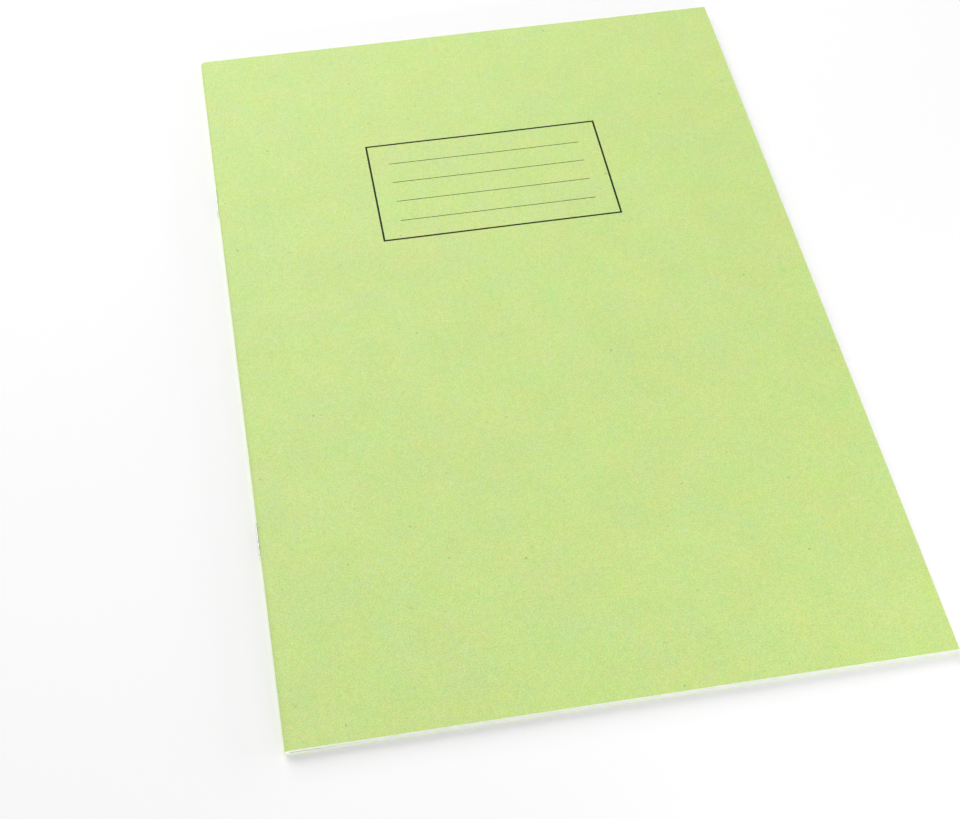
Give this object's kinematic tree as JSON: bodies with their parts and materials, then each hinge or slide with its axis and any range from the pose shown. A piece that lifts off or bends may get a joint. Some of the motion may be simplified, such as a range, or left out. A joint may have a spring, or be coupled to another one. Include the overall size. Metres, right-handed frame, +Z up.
{
  "type": "stapled exercise book",
  "caption": "Thin stapled exercise book: folded paper sheets in a folded card cover with a ruled name panel, opening flat at its middle.",
  "frame": {"origin": "on the table under the middle of the closed book, staple crowns included", "axes": "+X from the spine to the fore edge, +Y from foot to head, +Z up, out of the front cover"},
  "size_m": [0.2104, 0.297, 0.0033],
  "materials": {
    "cover_card": "matte",
    "page_paper": "matte",
    "staple_wire": "satin"
  },
  "bodies": {
    "back_cover": {"back_cover": "cover_card", "sheet_01_back_leaf": "page_paper", "sheet_01_fold": "page_paper"},
    "front_leaf_01": {"sheet_01_front_leaf": "page_paper", "cover_spine": "cover_card"},
    "front_cover": {"front_cover": "cover_card"},
    "staples": {"head_staple": "staple_wire", "foot_staple": "staple_wire"},
    "back_leaf_02": {"sheet_02_back_leaf": "page_paper", "sheet_02_fold": "page_paper"},
    "front_leaf_02": {"sheet_02_front_leaf": "page_paper"},
    "back_leaf_03": {"sheet_03_back_leaf": "page_paper", "sheet_03_fold": "page_paper"},
    "front_leaf_03": {"sheet_03_front_leaf": "page_paper"},
    "back_leaf_04": {"sheet_04_back_leaf": "page_paper", "sheet_04_fold": "page_paper"},
    "front_leaf_04": {"sheet_04_front_leaf": "page_paper"},
    "back_leaf_05": {"sheet_05_back_leaf": "page_paper", "sheet_05_fold": "page_paper"},
    "front_leaf_05": {"sheet_05_front_leaf": "page_paper"},
    "back_leaf_06": {"sheet_06_back_leaf": "page_paper", "sheet_06_fold": "page_paper"},
    "front_leaf_06": {"sheet_06_front_leaf": "page_paper"},
    "back_leaf_07": {"sheet_07_back_leaf": "page_paper", "sheet_07_fold": "page_paper"},
    "front_leaf_07": {"sheet_07_front_leaf": "page_paper"},
    "back_leaf_08": {"sheet_08_back_leaf": "page_paper", "sheet_08_fold": "page_paper"},
    "front_leaf_08": {"sheet_08_front_leaf": "page_paper"},
    "back_leaf_09": {"sheet_09_back_leaf": "page_paper", "sheet_09_fold": "page_paper"},
    "front_leaf_09": {"sheet_09_front_leaf": "page_paper"},
    "back_leaf_10": {"sheet_10_back_leaf": "page_paper", "sheet_10_fold": "page_paper"},
    "front_leaf_10": {"sheet_10_front_leaf": "page_paper"},
    "back_leaf_11": {"sheet_11_back_leaf": "page_paper", "sheet_11_fold": "page_paper"},
    "front_leaf_11": {"sheet_11_front_leaf": "page_paper"},
    "back_leaf_12": {"sheet_12_back_leaf": "page_paper", "sheet_12_fold": "page_paper"},
    "front_leaf_12": {"sheet_12_front_leaf": "page_paper"}
  },
  "joints": [
    {"name": "open_at_centre", "type": "hinge", "parent": "back_cover", "child": "front_leaf_01", "pos_m": [-0.1031, 0, 0.00167], "axis": [0, -1, 0], "range_deg": [0, 179], "deforming": ["cover_spine", "sheet_01_fold"]},
    {"name": "front_cover_open", "type": "hinge", "parent": "front_leaf_01", "child": "front_cover", "pos_m": [-0.1031, 0, 0.00339], "axis": [0, -1, 0], "range_deg": [0, 179]},
    {"name": "staples_tilt", "type": "hinge", "parent": "back_cover", "child": "staples", "pos_m": [-0.1031, 0, 0.00167], "axis": [0, -1, 0], "range_deg": [0, 90]},
    {"name": "back_leaf_02_rise", "type": "hinge", "parent": "back_cover", "child": "back_leaf_02", "pos_m": [-0.1031, 0, 0.00167], "axis": [0, -1, 0], "range_deg": [0, 0.2]},
    {"name": "front_leaf_02_turn", "type": "hinge", "parent": "back_leaf_02", "child": "front_leaf_02", "pos_m": [-0.1031, 0, 0.00167], "axis": [0, -1, 0], "range_deg": [0, 179.6], "deforming": ["sheet_02_fold"]},
    {"name": "back_leaf_03_rise", "type": "hinge", "parent": "back_cover", "child": "back_leaf_03", "pos_m": [-0.1031, 0, 0.00167], "axis": [0, -1, 0], "range_deg": [0, 0.4]},
    {"name": "front_leaf_03_turn", "type": "hinge", "parent": "back_leaf_03", "child": "front_leaf_03", "pos_m": [-0.1031, 0, 0.00167], "axis": [0, -1, 0], "range_deg": [0, 179.2], "deforming": ["sheet_03_fold"]},
    {"name": "back_leaf_04_rise", "type": "hinge", "parent": "back_cover", "child": "back_leaf_04", "pos_m": [-0.1031, 0, 0.00167], "axis": [0, -1, 0], "range_deg": [0, 0.6]},
    {"name": "front_leaf_04_turn", "type": "hinge", "parent": "back_leaf_04", "child": "front_leaf_04", "pos_m": [-0.1031, 0, 0.00167], "axis": [0, -1, 0], "range_deg": [0, 178.8], "deforming": ["sheet_04_fold"]},
    {"name": "back_leaf_05_rise", "type": "hinge", "parent": "back_cover", "child": "back_leaf_05", "pos_m": [-0.1031, 0, 0.00167], "axis": [0, -1, 0], "range_deg": [0, 0.8]},
    {"name": "front_leaf_05_turn", "type": "hinge", "parent": "back_leaf_05", "child": "front_leaf_05", "pos_m": [-0.1031, 0, 0.00167], "axis": [0, -1, 0], "range_deg": [0, 178.4], "deforming": ["sheet_05_fold"]},
    {"name": "back_leaf_06_rise", "type": "hinge", "parent": "back_cover", "child": "back_leaf_06", "pos_m": [-0.1031, 0, 0.00167], "axis": [0, -1, 0], "range_deg": [0, 1]},
    {"name": "front_leaf_06_turn", "type": "hinge", "parent": "back_leaf_06", "child": "front_leaf_06", "pos_m": [-0.1031, 0, 0.00167], "axis": [0, -1, 0], "range_deg": [0, 178], "deforming": ["sheet_06_fold"]},
    {"name": "back_leaf_07_rise", "type": "hinge", "parent": "back_cover", "child": "back_leaf_07", "pos_m": [-0.1031, 0, 0.00167], "axis": [0, -1, 0], "range_deg": [0, 1.2]},
    {"name": "front_leaf_07_turn", "type": "hinge", "parent": "back_leaf_07", "child": "front_leaf_07", "pos_m": [-0.1031, 0, 0.00167], "axis": [0, -1, 0], "range_deg": [0, 177.6], "deforming": ["sheet_07_fold"]},
    {"name": "back_leaf_08_rise", "type": "hinge", "parent": "back_cover", "child": "back_leaf_08", "pos_m": [-0.1031, 0, 0.00167], "axis": [0, -1, 0], "range_deg": [0, 1.4]},
    {"name": "front_leaf_08_turn", "type": "hinge", "parent": "back_leaf_08", "child": "front_leaf_08", "pos_m": [-0.1031, 0, 0.00167], "axis": [0, -1, 0], "range_deg": [0, 177.2], "deforming": ["sheet_08_fold"]},
    {"name": "back_leaf_09_rise", "type": "hinge", "parent": "back_cover", "child": "back_leaf_09", "pos_m": [-0.1031, 0, 0.00167], "axis": [0, -1, 0], "range_deg": [0, 1.6]},
    {"name": "front_leaf_09_turn", "type": "hinge", "parent": "back_leaf_09", "child": "front_leaf_09", "pos_m": [-0.1031, 0, 0.00167], "axis": [0, -1, 0], "range_deg": [0, 176.8], "deforming": ["sheet_09_fold"]},
    {"name": "back_leaf_10_rise", "type": "hinge", "parent": "back_cover", "child": "back_leaf_10", "pos_m": [-0.1031, 0, 0.00167], "axis": [0, -1, 0], "range_deg": [0, 1.8]},
    {"name": "front_leaf_10_turn", "type": "hinge", "parent": "back_leaf_10", "child": "front_leaf_10", "pos_m": [-0.1031, 0, 0.00167], "axis": [0, -1, 0], "range_deg": [0, 176.4], "deforming": ["sheet_10_fold"]},
    {"name": "back_leaf_11_rise", "type": "hinge", "parent": "back_cover", "child": "back_leaf_11", "pos_m": [-0.1031, 0, 0.00167], "axis": [0, -1, 0], "range_deg": [0, 2]},
    {"name": "front_leaf_11_turn", "type": "hinge", "parent": "back_leaf_11", "child": "front_leaf_11", "pos_m": [-0.1031, 0, 0.00167], "axis": [0, -1, 0], "range_deg": [0, 176], "deforming": ["sheet_11_fold"]},
    {"name": "back_leaf_12_rise", "type": "hinge", "parent": "back_cover", "child": "back_leaf_12", "pos_m": [-0.1031, 0, 0.00167], "axis": [0, -1, 0], "range_deg": [0, 2.2]},
    {"name": "front_leaf_12_turn", "type": "hinge", "parent": "back_leaf_12", "child": "front_leaf_12", "pos_m": [-0.1031, 0, 0.00167], "axis": [0, -1, 0], "range_deg": [0, 175.6], "deforming": ["sheet_12_fold"]}
  ],
  "couplings": [
    {"joint": "staples_tilt", "follows": "open_at_centre", "ratio": 0.5},
    {"joint": "back_leaf_02_rise", "follows": "open_at_centre", "ratio": 0.0011111},
    {"joint": "front_leaf_02_turn", "follows": "open_at_centre", "ratio": 0.99778},
    {"joint": "back_leaf_03_rise", "follows": "open_at_centre", "ratio": 0.0022222},
    {"joint": "front_leaf_03_turn", "follows": "open_at_centre", "ratio": 0.99556},
    {"joint": "back_leaf_04_rise", "follows": "open_at_centre", "ratio": 0.0033333},
    {"joint": "front_leaf_04_turn", "follows": "open_at_centre", "ratio": 0.99333},
    {"joint": "back_leaf_05_rise", "follows": "open_at_centre", "ratio": 0.0044444},
    {"joint": "front_leaf_05_turn", "follows": "open_at_centre", "ratio": 0.99111},
    {"joint": "back_leaf_06_rise", "follows": "open_at_centre", "ratio": 0.0055556},
    {"joint": "front_leaf_06_turn", "follows": "open_at_centre", "ratio": 0.98889},
    {"joint": "back_leaf_07_rise", "follows": "open_at_centre", "ratio": 0.0066667},
    {"joint": "front_leaf_07_turn", "follows": "open_at_centre", "ratio": 0.98667},
    {"joint": "back_leaf_08_rise", "follows": "open_at_centre", "ratio": 0.0077778},
    {"joint": "front_leaf_08_turn", "follows": "open_at_centre", "ratio": 0.98444},
    {"joint": "back_leaf_09_rise", "follows": "open_at_centre", "ratio": 0.0088889},
    {"joint": "front_leaf_09_turn", "follows": "open_at_centre", "ratio": 0.98222},
    {"joint": "back_leaf_10_rise", "follows": "open_at_centre", "ratio": 0.01},
    {"joint": "front_leaf_10_turn", "follows": "open_at_centre", "ratio": 0.98},
    {"joint": "back_leaf_11_rise", "follows": "open_at_centre", "ratio": 0.011111},
    {"joint": "front_leaf_11_turn", "follows": "open_at_centre", "ratio": 0.97778},
    {"joint": "back_leaf_12_rise", "follows": "open_at_centre", "ratio": 0.012222},
    {"joint": "front_leaf_12_turn", "follows": "open_at_centre", "ratio": 0.97556}
  ]
}
